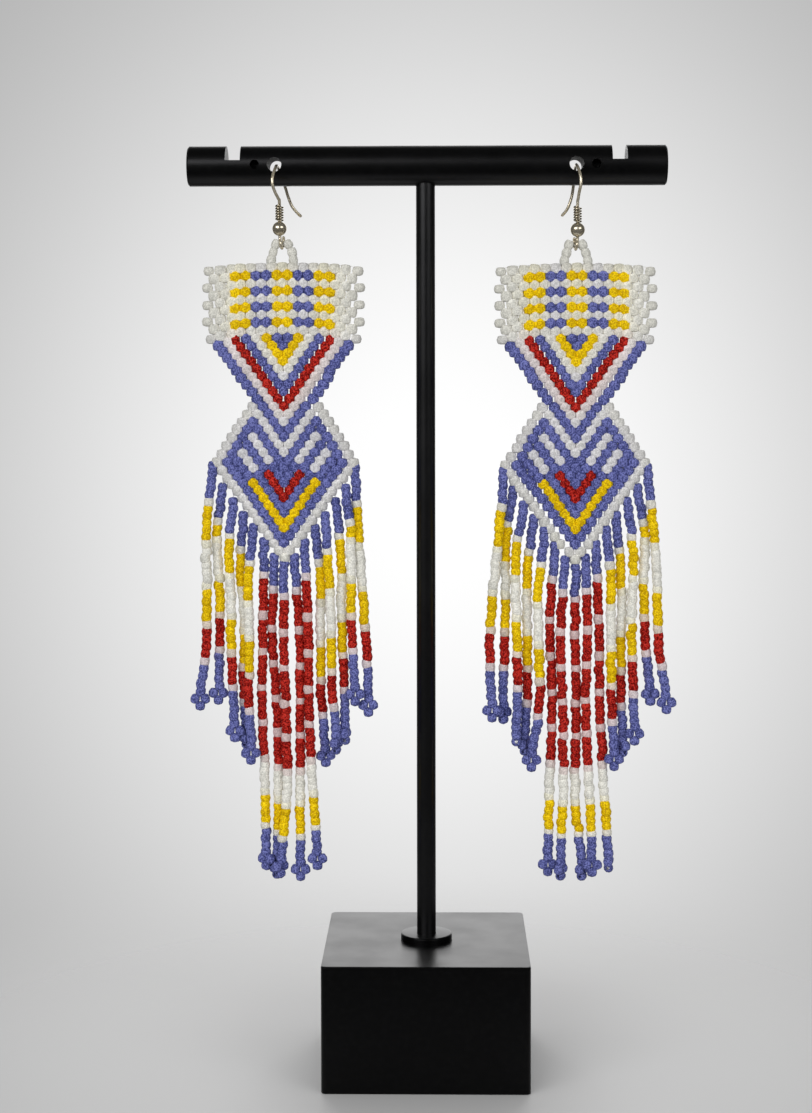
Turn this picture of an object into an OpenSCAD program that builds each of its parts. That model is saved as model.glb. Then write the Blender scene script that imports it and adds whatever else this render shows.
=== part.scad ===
// Pair of long beaded fringe earrings hung by their wire hooks through the
// holes of a plain T-bar display stand. Millimetres, +Z up, front towards -Y,
// origin at the middle of the underside of the stand's base.

/* [Stand] */
// Side of the square base block
base_side = 42.5; // [36:0.5:60]
// Height of the base block
base_height = 26; // [20:0.5:40]
// Bevel on every edge of the base block
base_bevel = 0.3; // [0.2:0.1:1.5]
// Diameter of the post
post_d = 4; // [3:0.5:6]
// Diameter of the round washer at the post's foot
collar_d = 10.8; // [8:0.1:16]
// Thickness of the washer
collar_height = 1.3; // [1:0.1:3]
// Height of the bar's axis over the table
bar_height = 189.2; // [185:0.1:230]
// Length of the bar
bar_length = 100; // [96:1:140]
// How far the bar's middle sits to the right of the post
bar_shift = 0.3; // [0:0.1:0.4]
// Diameter of the bar
bar_d = 8.4; // [8.2:0.1:12]
// Distance of each hook hole from the post
hook_hole_x = 31.4; // [31.2:0.1:31.7]
// Diameter of the hook holes, which go right through
hook_hole_d = 3; // [2.6:0.1:3.6]
// Distance of each spare stud hole from the post
stud_hole_x = 35.5; // [35:0.1:36]
// Diameter of the blind stud holes
stud_hole_d = 1.9; // [1:0.1:2.4]
// Depth of the blind stud holes
stud_hole_depth = 3; // [1:0.5:5]
// Distance of each top notch from the post; the right one moves on by the bar's shift
notch_x = 40.1; // [39.5:0.1:44]
// Width of the top notches
notch_width = 3.1; // [2:0.1:5]
// Depth of the top notches below the top of the bar
notch_depth = 3.3; // [1:0.1:4]

/* [Ear hooks] */
// Diameter of the hook wire
wire_d = 0.65; // [0.6:0.05:0.8]
// Diameter of the metal ball on the wire
ball_d = 3; // [2.6:0.1:3.1]
// Diameter over the wound coil
coil_d = 1.8; // [1.5:0.1:2]
// Length of the wound coil
coil_length = 3.5; // [3:0.1:3.6]
// Turns in the coil
coil_turns = 7; // [5:1:9]
// Radius of the eye at the foot of the wire, at the wire's middle
eye_radius = 0.85; // [0.8:0.05:0.9]

/* [Beadwork] */
// Distance between beads side by side in the woven panel
bead_pitch = 2.13; // [2.1:0.01:2.14]
// Thickness of the woven panel
panel_thickness = 2; // [1.6:0.1:2.2]
// Row height in the upper, rectangular part of the panel
upper_row = 1.625; // [1.6:0.005:1.65]
// Row height below it
lower_row = 1.58; // [1.5:0.01:1.6]
// Distance between strands at the lower edge of the panel
strand_pitch = 2.12; // [2.12:0.01:2.2]
// Radius of a string of beads
strand_r = 0.95; // [0.8:0.05:1]
// Width of the slits that open beside the red chevron
slit_width = 0.4; // [0.2:0.05:0.5]

/* [Hidden] */
SIDES = ["left", "right"];
STRANDS = [for (i = [1:15]) i];
function two(i) = i < 10 ? str("0", i) : str(i);
$fn = 64;

// Clearance of the post in its bores, and of one loose piece over another
fit = 0.05;
// Depth of the post's bore in the base
post_bore = 14;
// Bevel on the bar's ends and on the washer
bar_bevel = 0.3;

// Each earring: x of the beadwork's axis, x of the hook's straight shank,
// height of the ball's middle, height of the panel's row 0
AXIS_X = 0;
SHANK_X = 1;
BALL_Z = 2;
ROW0_Z = 3;
earring = [
    [-29.5, -30.25, 175.8, 153.2],
    [31.1, 31.5, 175.4, 152.9]
];
// The beadwork hangs this far in front of the bar's axis
hang_y = -4.9;

// Wire above the coil: x from the shank, y, z from the bar's axis, front to back
hook_route = [
    [
        [0, -4.9, -8.0], [-0.2, -5.1, -7.2], [-0.8, -5.5, -6.0], [-1.3, -5.8, -4.6],
        [-1.4, -5.7, -3.2], [-1.2, -5.2, -2.0], [-1.0, -4.5, -1.2], [-0.9, -3.5, -0.7],
        [-0.9, -2.0, -0.2], [-0.9, 0, 0.1], [-0.8, 2.0, -0.1], [-0.7, 3.5, -0.6],
        [-0.6, 4.5, -1.2], [-0.3, 5.2, -2.2], [0.4, 5.6, -3.8], [1.0, 5.6, -5.8],
        [1.8, 5.5, -7.8], [2.7, 5.7, -9.0], [3.6, 6.1, -9.9]
    ],
    [
        [0, -4.9, -8.4], [0.1, -5.1, -7.4], [0.3, -5.5, -6.0], [0.6, -5.8, -4.6],
        [0.6, -5.7, -3.2], [0.4, -5.2, -2.0], [0.2, -4.5, -1.2], [0.1, -3.5, -0.7],
        [0, -2.0, -0.2], [0, 0, 0.1], [0, 2.0, -0.1], [0, 3.5, -0.6],
        [0, 4.5, -1.2], [-0.1, 5.2, -2.2], [-0.2, 5.6, -3.8], [-0.5, 5.6, -5.8],
        [-1.1, 5.5, -7.8], [-1.7, 5.7, -9.0], [-2.5, 6.1, -9.9]
    ]
];

// Rows of the woven panel: 0 to 29 below, -9 to -1 above
FIRST_ROW = -9;
LAST_ROW = 29;
// Outermost bead of a row, counted in bead pitches from the axis: the upper
// block alternates 7 and 6.5, then a triangle runs in and a diamond runs out
function last_bead(r) = r < 0 ? (r % 2 == 0 ? 6.5 : 7)
    : max((13 - r) / 2, min((r - 3) / 2, (29 - r) / 2));
function row_drop(r) = r < 0 ? r * upper_row : r * lower_row;
// The weave droops towards its side edges, most where the block ends
edge_droop = 2.05;
top_droop = 0.75;
function droop_of_row(r) = r < 0 ? top_droop + (edge_droop - top_droop) * (r + 9) / 9
    : edge_droop * max(0, min(1, (12 - r) / 4));
function droop(r, h) = droop_of_row(r) * pow(abs(h) / 7, r < 0 ? 3.2 + 0.13 * r : 3.2);
function row_z(r, h) = -row_drop(r) - droop(r, h);

// Strings of the fringe: length, sway sideways at each quarter of it, depth to
// which it swings out of the panel's plane, and turn of the small end loop
LENGTH = 0;
SWAY = [1, 2, 3, 4];
DEPTH = 5;
TURN = 6;
fringe = [
    [
        [48.9, -1.2, -1.3, -1.4, -2.8, -0.9, 0],
        [44.8, -1.5, -1.0, -0.9, -1.3, 1.0, 0],
        [49.3, -0.9, -0.5, -0.4, 0.2, -0.5, 0],
        [47.8, -0.8, 0.0, -0.3, 0.3, 1.2, 70],
        [47.6, -1.1, -0.8, -1.1, -0.7, -1.1, 0],
        [67.0, -0.3, -0.6, 0.0, 0.2, 0.5, -35],
        [65.8, -0.5, 0.4, 0.6, 0.3, 1.2, 60],
        [63.5, -0.1, 0.3, 0.4, -1.0, -1.0, 50],
        [66.1, 1.0, 1.1, 1.0, 1.0, 0.6, 0],
        [66.7, 0.7, 0.8, 1.5, 2.5, -0.6, 0],
        [48.5, 1.1, 1.1, 1.2, 2.1, 1.1, 20],
        [48.6, 0.8, 1.3, 1.4, 2.3, -1.0, 70],
        [50.0, 1.1, 1.3, 1.7, 2.0, 0.7, 80],
        [44.8, 1.1, 1.2, 1.4, 2.0, -0.6, 0],
        [50.4, 0.5, 1.3, 2.2, 2.6, 0.5, 0]
    ],
    [
        [51.0, -0.9, -2.2, -3.0, -2.5, -0.9, 0],
        [48.5, -1.6, -1.8, -2.0, -2.2, 1.1, 40],
        [49.7, -1.7, -1.7, -1.4, -1.7, -0.8, 90],
        [48.9, -1.5, -1.5, -1.4, -2.0, 1.2, 60],
        [48.7, -1.3, -1.3, -1.1, -2.8, -1.0, 0],
        [67.8, -1.0, -0.5, -1.0, -1.4, 0.5, 0],
        [65.3, -1.0, -0.5, -0.4, -0.9, -0.6, 60],
        [64.1, 0.1, 0.3, 0.0, 1.5, 1.0, 60],
        [64.5, 0.4, 0.0, 0.8, 1.4, -0.5, 0],
        [67.0, 0.7, 0.9, 1.7, 2.8, 0.5, 80],
        [48.5, 1.1, 1.0, 1.2, 1.7, -0.9, 0],
        [49.1, 1.1, 1.1, 1.1, 1.5, 0.9, -60],
        [49.5, 1.4, 1.0, 1.3, 1.7, -0.8, 0],
        [44.6, 1.8, 1.5, 1.9, 3.0, 0.8, 20],
        [49.3, 1.3, 2.1, 2.4, 4.1, -0.7, 0]
    ]
];
// Row in whose line the first bead of string i hangs
function strand_h(i) = i - 8;
function strand_row(i) = i == 8 ? 30 : 31 - 2 * abs(strand_h(i));
// Rings along a string, and the share of it over which it swings out
STRAND_STEPS = 11;
SWING_OUT = 0.12;

// Smooth curve through values at equal steps, with t from 0 to 1
function spline_part(a, b, c, d, u) = 0.5 * ((2 * b) + (c - a) * u
    + (2 * a - 5 * b + 4 * c - d) * u * u + (3 * b - a - 3 * c + d) * u * u * u);
function through(v, t) =
    let (n = len(v) - 1, i = min(n - 1, floor(t * n)), u = t * n - i)
    spline_part(v[max(0, i - 1)], v[i], v[i + 1], v[min(n, i + 2)], u);
function smooth(t) = let (s = max(0, min(1, t))) s * s * (3 - 2 * s);

function unit(v) = v / norm(v);
// Ring of a tube: around a point, across the direction of travel
function ring(p, along, ref, wide, deep, sides) =
    let (u = unit(ref - (ref * along) * along), v = cross(along, u))
    [for (k = [0:sides - 1]) let (a = (k + 0.5) * 360 / sides)
        p + wide * cos(a) * u + deep * sin(a) * v];

// Closed tube through a list of points, with its own half-widths at each
module tube(path, wide, deep, ref, sides = 8) {
    n = len(path);
    rings = [for (i = [0:n - 1])
        ring(path[i], unit(path[min(n - 1, i + 1)] - path[max(0, i - 1)]), ref,
            wide[i], deep[i], sides)];
    points = [for (r = rings) for (p = r) p];
    walls = [for (i = [0:n - 2]) for (k = [0:sides - 1])
        let (a = i * sides + k, b = i * sides + (k + 1) % sides)
        for (f = [[a, b, a + sides], [b, b + sides, a + sides]]) f];
    start = [for (k = [0:sides - 1]) sides - 1 - k];
    end = [for (k = [0:sides - 1]) (n - 1) * sides + k];
    polyhedron(points = points, faces = [for (f = concat([start], walls, [end])) [for (j = [len(f) - 1:-1:0]) f[j]]]);
}

// Square with its corners cut off
module bevelled_square(w, h, bevel) {
    a = w / 2;
    b = h / 2;
    polygon([[-a + bevel, -b], [a - bevel, -b], [a, -b + bevel], [a, b - bevel],
        [a - bevel, b], [-a + bevel, b], [-a, b - bevel], [-a, -b + bevel]]);
}

module base_block() {
    color([0.05, 0.05, 0.05]) difference() {
        intersection() {
            linear_extrude(base_height) bevelled_square(base_side, base_side, base_bevel);
            translate([0, base_side / 2, base_height / 2]) rotate([90, 0, 0])
                linear_extrude(base_side) bevelled_square(base_side, base_height, base_bevel);
            translate([-base_side / 2, 0, base_height / 2]) rotate([90, 0, 90])
                linear_extrude(base_side) bevelled_square(base_side, base_height, base_bevel);
        }
        translate([0, 0, base_height - post_bore])
            cylinder(d = post_d + 2 * fit, h = post_bore + 1);
    }
}

module base_collar() {
    r = collar_d / 2;
    color([0.05, 0.05, 0.05]) translate([0, 0, base_height]) rotate_extrude()
        polygon([[post_d / 2 + fit, 0], [r, 0], [r, collar_height - bar_bevel],
            [r - bar_bevel, collar_height], [post_d / 2 + fit, collar_height]]);
}

// The post stands on the floor of its bore and ends at the bar's axis
module post() {
    foot = base_height - post_bore;
    color([0.05, 0.05, 0.05]) translate([0, 0, foot])
        cylinder(d = post_d, h = bar_height - foot);
}

module t_bar() {
    r = bar_d / 2;
    half = bar_length / 2;
    color([0.05, 0.05, 0.05]) difference() {
        translate([bar_shift, 0, bar_height]) rotate([0, 90, 0]) rotate_extrude()
            polygon([[0, -half], [r - bar_bevel, -half], [r, -half + bar_bevel],
                [r, half - bar_bevel], [r - bar_bevel, half], [0, half]]);
        translate([0, 0, bar_height - bar_d])
            cylinder(d = post_d + 2 * fit, h = bar_d);
        for (side = [-1, 1]) {
            translate([side * hook_hole_x, bar_d, bar_height]) rotate([90, 0, 0])
                cylinder(d = hook_hole_d, h = 2 * bar_d);
            translate([side * stud_hole_x, stud_hole_depth - r, bar_height]) rotate([90, 0, 0])
                cylinder(d = stud_hole_d, h = bar_d);
            translate([side * notch_x - notch_width / 2 + max(0, side * bar_shift), -bar_d,
                bar_height + r - notch_depth]) cube([notch_width, 2 * bar_d, bar_d]);
        }
    }
}

// Height of the wire's neck between the ball and the eye
neck_high = 0.5;
// The eye's place sideways from the shank, where it starts and at its free end
eye_x = [[0.1, 0.8], [-0.05, -0.65]];

// One wire: the free end beside the neck, the eye that carries the beadwork, the
// shank through the ball and the coil, the front leg, the bend through the bar
// and the back leg
module ear_hook(s) {
    e = earring[s];
    eye_z = e[BALL_Z] - ball_d / 2 - neck_high - eye_radius - wire_d / 2;
    end = [[e[SHANK_X] + eye_x[s][1], hang_y + 0.65, eye_z + eye_radius + 0.2]];
    eye = [for (a = [315:-35:0]) [e[SHANK_X] + eye_x[s][0] + (eye_x[s][1] - eye_x[s][0]) * a / 315,
        hang_y - eye_radius * sin(a), eye_z + eye_radius * cos(a)]];
    shank = [[e[SHANK_X], hang_y, e[BALL_Z]]];
    leg = [for (p = hook_route[s]) [e[SHANK_X] + p[0], p[1], bar_height + p[2]]];
    path = concat(end, eye, shank, leg);
    r = [for (p = path) wire_d / 2];
    color([0.75, 0.72, 0.66]) tube(path, r, r, [1, 0, 0]);
}

// Turns of the coil, drawn as ridges round the shank
module hook_coil(s) {
    e = earring[s];
    turn = coil_length / coil_turns;
    inner = wire_d / 2 + 2 * fit;
    outer = coil_d / 2;
    ridges = [for (i = [0:coil_turns - 1]) for (p = [[outer - turn / 3, 0],
        [outer, turn / 4], [outer, 3 * turn / 4]]) [p[0], i * turn + p[1]]];
    color([0.75, 0.72, 0.66])
        translate([e[SHANK_X], hang_y, e[BALL_Z] + ball_d / 2 + fit]) rotate_extrude()
        polygon(concat([[inner, 0]], ridges, [[outer - turn / 3, coil_length],
            [inner, coil_length]]));
}

module hook_ball(s) {
    e = earring[s];
    color([0.78, 0.75, 0.7]) translate([e[SHANK_X], hang_y, e[BALL_Z]]) difference() {
        sphere(d = ball_d);
        translate([0, 0, -ball_d]) cylinder(d = wire_d + 6 * fit, h = 2 * ball_d);
    }
}

// Two short strings of three beads, joined over the top by the thread that
// runs through the hook's eye: x from the axis, z over row 0, half-width
loop_route = [
    [[-2.4, 15.7, 0.9], [-2.3, 16.4, 0.95], [-2.1, 17.8, 0.95], [-1.8, 18.9, 0.95],
        [-1.5, 19.3, 0.7], [-1.2, 19.4, 0.2], [-0.7, 19.35, 0.15], [0.2, 19.35, 0.15],
        [0.6, 19.4, 0.2], [0.9, 19.3, 0.7], [1.4, 18.9, 0.95], [1.8, 17.8, 0.95],
        [2.1, 16.4, 0.95], [2.2, 15.7, 0.9]],
    [[-2.3, 15.7, 0.9], [-2.2, 16.4, 0.95], [-1.9, 17.8, 0.95], [-1.5, 18.9, 0.95],
        [-1.0, 19.3, 0.7], [-0.6, 19.3, 0.2], [-0.2, 19.2, 0.15], [0.7, 19.2, 0.15],
        [1.0, 19.3, 0.2], [1.3, 19.3, 0.7], [1.8, 18.9, 0.95], [2.1, 17.8, 0.95],
        [2.4, 16.4, 0.95], [2.5, 15.7, 0.9]]
];
module hanging_loop(s) {
    e = earring[s];
    path = [for (p = loop_route[s]) [e[AXIS_X] + p[0], hang_y, e[ROW0_Z] + p[1]]];
    r = [for (p = loop_route[s]) p[2]];
    color([0.82, 0.81, 0.77]) tube(path, r, r, [0, 1, 0]);
}

// Woven panel: every row ends in a rounded bead, so the outline is scalloped
module beaded_panel(s) {
    e = earring[s];
    round_in = 0.4;
    edge = [for (r = [FIRST_ROW:LAST_ROW])
        let (h = last_bead(r), x = (h + 0.5) * bead_pitch, z = row_z(r, h),
            pitch = r < 0 ? upper_row : lower_row)
        for (p = [[x - round_in, 0.5], [x, 0.2], [x, -0.2], [x - round_in, -0.5]])
            [p[0], z + p[1] * pitch]];
    left_edge = [for (j = [len(edge) - 1:-1:0]) [-edge[j][0], edge[j][1]]];
    color([0.35, 0.37, 0.66])
        translate([e[AXIS_X], hang_y + panel_thickness / 2, e[ROW0_Z]]) rotate([90, 0, 0])
        difference() {
            linear_extrude(panel_thickness) polygon(concat(edge, left_edge));
            for (r = [0:7]) for (side = [-1, 1])
                let (h = (8 - r) / 2)
                translate([side * h * bead_pitch - slit_width / 2,
                    row_z(r, h) - lower_row / 3, -1])
                    cube([slit_width, 2 * lower_row / 3, panel_thickness + 2]);
        }
}

// One string of the fringe, with the small loop of three beads at its end
module strand(s, i) {
    e = earring[s];
    row = fringe[s][i - 1];
    x0 = e[AXIS_X] + strand_h(i) * strand_pitch;
    z0 = e[ROW0_Z] + row_z(strand_row(i), 0) + lower_row / 3;
    sway = concat([0], [for (c = SWAY) row[c]]);
    body = [for (j = [0:STRAND_STEPS - 1]) let (t = j / STRAND_STEPS)
        [x0 + through(sway, t), hang_y + row[DEPTH] * smooth(t / SWING_OUT),
            z0 - t * row[LENGTH]]];
    foot = [x0 + row[SWAY[3]], hang_y + row[DEPTH], z0 - row[LENGTH]];
    // height over the foot, half-width and half-depth of the end loop
    loop = [[1.5, strand_r, strand_r], [0.6, 1.9, 0.85], [-0.4, 1.95, 0.85],
        [-1.1, 1.2, 0.85], [-1.9, 1.05, 0.85], [-2.6, 0.55, 0.45]];
    path = concat(body, [for (p = loop) foot + [0, 0, p[0]]]);
    string_r = [for (j = [0:STRAND_STEPS - 1]) j == 0 ? 0.8 * strand_r : strand_r];
    wide = concat(string_r, [for (p = loop) p[1]]);
    deep = concat(string_r, [for (p = loop) p[2]]);
    band = abs(strand_h(i)) > 2 ? [0.85, 0.7, 0.1] : [0.65, 0.1, 0.08];
    color(band) tube(path, wide, deep, [cos(row[TURN]), sin(row[TURN]), 0]);
}

base_block();
base_collar();
post();
t_bar();
for (s = [0, 1]) {
    ear_hook(s);
    hook_coil(s);
    hook_ball(s);
    hanging_loop(s);
    beaded_panel(s);
    for (i = STRANDS)
        strand(s, i);
}
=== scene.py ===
"""Looks of a pair of beaded fringe earrings on a T-bar display stand.

Every piece is worked out in millimetres in the stand's own frame: +Z up, front
towards -Y, origin at the middle of the underside of the base.
"""

import math

import bpy
import numpy as np
from mathutils import Matrix, Vector


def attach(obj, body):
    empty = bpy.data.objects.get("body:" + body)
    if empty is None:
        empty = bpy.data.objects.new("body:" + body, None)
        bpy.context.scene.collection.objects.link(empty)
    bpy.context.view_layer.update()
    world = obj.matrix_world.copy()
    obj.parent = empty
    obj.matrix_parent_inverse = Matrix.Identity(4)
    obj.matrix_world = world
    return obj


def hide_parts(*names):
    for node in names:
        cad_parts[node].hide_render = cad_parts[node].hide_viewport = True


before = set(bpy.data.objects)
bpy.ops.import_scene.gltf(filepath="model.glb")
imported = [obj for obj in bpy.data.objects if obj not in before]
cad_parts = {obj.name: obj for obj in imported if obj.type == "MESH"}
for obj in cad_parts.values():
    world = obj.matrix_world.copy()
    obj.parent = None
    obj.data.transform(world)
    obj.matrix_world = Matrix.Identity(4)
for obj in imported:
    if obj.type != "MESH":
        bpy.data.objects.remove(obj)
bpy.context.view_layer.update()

# The view. The stand is seen from the front through a long lens that stands
# below the bar's height and is tipped two degrees down; the lens shift sets
# the horizon of the 812 x 1113 frame.
MM = 0.001
FRAME_HIGH = 1113
LENS_PX = 2022
HORIZON_SHIFT_PX = -108.8
EYE = (3.1, -425.1, 145.0)
YAW, PITCH, ROLL = 0.98, 2.0, 0.097

scene = bpy.context.scene
camera_data = bpy.data.cameras.new("camera")
camera_data.sensor_width = 36
camera_data.lens = camera_data.sensor_width * LENS_PX / FRAME_HIGH
camera_data.shift_y = HORIZON_SHIFT_PX / FRAME_HIGH
camera_data.clip_start = 0.01
camera = bpy.data.objects.new("camera", camera_data)
scene.collection.objects.link(camera)
turn = (Matrix.Rotation(math.radians(YAW), 4, "Z")
        @ Matrix.Rotation(math.radians(90 - PITCH), 4, "X")
        @ Matrix.Rotation(math.radians(-ROLL), 4, "Z"))
camera.matrix_world = Matrix.Translation([c * MM for c in EYE]) @ turn
scene.camera = camera
scene.view_settings.view_transform = "Standard"


# Base block. A solid steel block, 42.5 mm square, with narrow rounded edges and
# a satin black coating. The post stands in a bore in its top, under the washer.
BASE_SIDE = 42.5
BASE_HIGH = 26
CORNER_R = 0.9
EDGE_R = 0.3
BORE_R = 2.05
# Strip of flat beside each rounding, which keeps the flats' shading flat
FLAT_STRIP = 0.4
QUARTER_TURN = np.radians(np.arange(0, 91, 15))
# Degrees between two faces from which the edge between them is sharp
SHARP_FROM = 35
GRAIN_VALUES = ("Scale", "Rough low", "Rough high", "Bump")


def ring_faces(rings, sides):
    """Faces of a sleeve: point j of ring i joins its neighbours in ring and next ring."""
    i = np.arange(rings - 1)[:, None] * sides
    j = np.arange(sides)[None, :]
    k = (j + 1) % sides
    return np.stack([i + j, i + k, i + sides + k, i + sides + j], -1).reshape(-1, 4).tolist()


def capped(rings):
    """Faces of a sleeve with a flat cap on each end."""
    count, sides = rings.shape[:2]
    last = (count - 1) * sides
    caps = [list(range(sides - 1, -1, -1)), list(range(last, last + sides))]
    return ring_faces(count, sides) + caps


def make_piece(name, points, faces, materials, face_material=None):
    """Mesh of points in mm, shaded smooth, with its sharp edges kept."""
    mesh = bpy.data.meshes.new(name)
    mesh.from_pydata((np.asarray(points).reshape(-1, 3) * MM).tolist(), [], faces)
    for material in materials:
        mesh.materials.append(material)
    if face_material is not None:
        mesh.polygons.foreach_set("material_index", np.asarray(face_material, np.int32))
    mesh.shade_smooth()
    mesh.set_sharp_from_angle(angle=math.radians(SHARP_FROM))
    piece = bpy.data.objects.new(name, mesh)
    scene.collection.objects.link(piece)
    return piece


def new_material(name, **constants):
    """Material, its node tree, and its Principled shader with constants on its own sockets."""
    material = bpy.data.materials.new(name)
    material.use_nodes = True
    shader = material.node_tree.nodes["Principled BSDF"]
    for key, value in constants.items():
        shader.inputs[key.replace("_", " ")].default_value = value
    return material, material.node_tree, shader


def add_node(tree, kind, **sockets):
    """Node of a kind, with values or links for its inputs by name or number."""
    node = tree.nodes.new(kind)
    for key, value in sockets.items():
        key = int(key[1:]) if key[0] == "n" and key[1:].isdigit() else key.replace("_", " ")
        if isinstance(value, bpy.types.NodeSocket):
            tree.links.new(value, node.inputs[key])
        else:
            node.inputs[key].default_value = value
    return node


def add_colour(tree, shader, factor, low, high, colours):
    """Base colour that runs from the first to the last between two levels of a factor."""
    node = add_node(tree, "ShaderNodeValToRGB", Fac=factor)
    for element, place, colour in zip(node.color_ramp.elements, (low, high), colours):
        element.position = place
        element.color = (*colour, 1)
    tree.links.new(node.outputs["Color"], shader.inputs["Base Color"])


def noise(tree, scale, detail=2.0, roughness=0.5):
    """Level of a cloudy noise that is fixed to the piece."""
    place = tree.nodes.new("ShaderNodeTexCoord").outputs["Object"]
    return add_node(tree, "ShaderNodeTexNoise", Vector=place, Scale=scale, Detail=detail,
                    Roughness=roughness).outputs["Fac"]


def new_group(name, takes, gives):
    """Node group with sockets of given kinds, the outputs of its inlet, and its outlet."""
    group = bpy.data.node_groups.new(name, "ShaderNodeTree")
    for way, sockets in (("INPUT", takes), ("OUTPUT", gives)):
        for socket, kind in sockets:
            group.interface.new_socket(socket, in_out=way, socket_type="NodeSocket" + kind)
    return group, group.nodes.new("NodeGroupInput").outputs, group.nodes.new("NodeGroupOutput")


def fine_grain():
    """Node group: fine even grain of a sprayed or tumbled finish, as roughness and normal."""
    group, given, out = new_group("fine_grain", [(name, "Float") for name in GRAIN_VALUES],
                                  [("Roughness", "Float"), ("Normal", "Vector")])
    rough = add_node(group, "ShaderNodeMapRange", Value=noise(group, 120.0, 3.0), From_Min=0.35,
                     From_Max=0.65, To_Min=given["Rough low"], To_Max=given["Rough high"])
    bump = add_node(group, "ShaderNodeBump", Strength=given["Bump"], Distance=0.00002,
                    Height=noise(group, given["Scale"]))
    group.links.new(rough.outputs["Result"], out.inputs["Roughness"])
    group.links.new(bump.outputs["Normal"], out.inputs["Normal"])
    return group


FINE_GRAIN = fine_grain()


def add_grain(tree, shader, *values):
    """Roughness and normal of a shader from the grain group, with its four values."""
    grain = tree.nodes.new("ShaderNodeGroup")
    grain.node_tree = FINE_GRAIN
    for name, value in zip(GRAIN_VALUES, values):
        grain.inputs[name].default_value = value
    for name in ("Roughness", "Normal"):
        tree.links.new(grain.outputs[name], shader.inputs[name])


def black_coating(name, glint, sheen=0.5):
    """Satin black coating with a fine grain; it mirrors by glint straight on, sheen aslant."""
    material, tree, shader = new_material(name, Specular_IOR_Level=sheen,
                                          Specular_Tint=(glint, glint, glint * 1.04, 1))
    add_grain(tree, shader, 5000, 0.29, 0.34, 0.12)
    add_colour(tree, shader, noise(tree, 900.0, 4.0), 0.45, 0.85, ((0.0006,) * 3, (0.002,) * 3))
    return material


def rounded_square(half, corner, z):
    """Ring of a square with round corners: a quarter arc about each corner's centre."""
    flat = min(FLAT_STRIP, 0.2 * (half - corner))
    arc = np.stack([corner * np.cos(QUARTER_TURN), corner * np.sin(QUARTER_TURN)], -1)
    one = np.vstack([[corner, -flat], arc, [-flat, corner]]) + (half - corner)
    quarters = [one]
    for _ in range(3):
        quarters.append(np.stack([-quarters[-1][:, 1], quarters[-1][:, 0]], -1))
    return np.column_stack([np.vstack(quarters), np.full(4 * len(one), z)])


def base_rings():
    """Rings from the underside's middle out, up the side, over the top and to the middle."""
    half = BASE_SIDE / 2
    rounding = [(half - EDGE_R + EDGE_R * math.sin(a), EDGE_R - EDGE_R * math.cos(a))
                for a in QUARTER_TURN]
    flat = half - EDGE_R - FLAT_STRIP
    outline = ([(BORE_R, 0), (flat, 0)] + rounding + [(half, EDGE_R + FLAT_STRIP)]
               + [(half, BASE_HIGH - EDGE_R - FLAT_STRIP)]
               + [(w, BASE_HIGH - z) for w, z in reversed(rounding)]
               + [(flat, BASE_HIGH), (BORE_R, BASE_HIGH)])
    return np.stack([rounded_square(w, max(min(CORNER_R, w), CORNER_R - (half - w)), z)
                     if w > 2 * BORE_R else rounded_square(w, w * 0.999, z) for w, z in outline])


BLOCK_BLACK = black_coating("block_black", 0.22)
rings = base_rings()
base = make_piece("base_block", rings, capped(rings), [BLOCK_BLACK])
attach(base, "root")
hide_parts("base_block")


# Washer and post. A turned steel washer lies on the block, and a 4 mm rod runs
# through it from the block to the bar. Both are coated like the block.
WASHER_R = 5.4
WASHER_HIGH = 1.3
WASHER_EDGE_R = 0.35
WASHER_SIDES = 96
POST_R = 2
POST_FOOT = 12
POST_SIDES = 64
ROD_BLACK = black_coating("rod_black", 0.6)
POST_BLACK = black_coating("post_black", 0.95)
BAR_Z = 189.2


def turned(profile, sides):
    """Lathe work: a profile of (radius, height) points carried round the Z axis."""
    profile = np.asarray(profile, float)
    angle = np.linspace(0, 2 * np.pi, sides, endpoint=False)
    r = profile[:, :1]
    return np.stack([r * np.cos(angle), r * np.sin(angle),
                     np.repeat(profile[:, 1:], sides, 1)], -1)


def joined(rings, sides):
    """Faces of a sleeve whose last ring joins its first."""
    last = (rings - 1) * sides
    return ring_faces(rings, sides) + [[last + j, last + (j + 1) % sides, (j + 1) % sides, j]
                                       for j in range(sides)]


def washer_profile():
    """Up the bore, over the rounded top edge and down the rim, closed at the foot."""
    r = WASHER_EDGE_R
    edge = [(WASHER_R - r + r * math.cos(a), WASHER_HIGH - r + r * math.sin(a))
            for a in QUARTER_TURN[::-1]]
    loop = [(BORE_R, 0), (BORE_R, WASHER_HIGH)] + edge + [(WASHER_R, 0)]
    return [(x, z + BASE_HIGH) for x, z in loop[::-1]]


rings = turned(washer_profile(), WASHER_SIDES)
washer = make_piece("base_collar", rings, joined(*rings.shape[:2]),
                    [black_coating("washer_black", 0.3, 0.4)])
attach(washer, "root")
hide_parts("base_collar")

rings = turned([(POST_R, POST_FOOT), (POST_R, BAR_Z)], POST_SIDES)
post = make_piece("post", rings, capped(rings), [POST_BLACK])
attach(post, "root")
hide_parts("post")


# Bar. A coated 8.4 mm steel rod with its ends broken, drilled across for the
# hooks and the spare studs, with a milled notch near each end. It is bored from
# below and pushed on the post, 0.3 mm off its middle.
BAR_R = 4.2
BAR_HALF = 50
BAR_BEVEL = 0.3
BAR_SHIFT = 0.3
HOOK_HOLE_X, HOOK_HOLE_R = 31.4, 1.5
STUD_HOLE_X, STUD_HOLE_R, STUD_HOLE_DEEP = 35.5, 0.95, 3
NOTCH_X, NOTCH_WIDE, NOTCH_DEEP = 40.1, 3.1, 3.3
BAR_SIDES, DRILL_SIDES = 94, 50
# How far each tool reaches past the bar's axis, in mm
TOOL_REACH = 9
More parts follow.
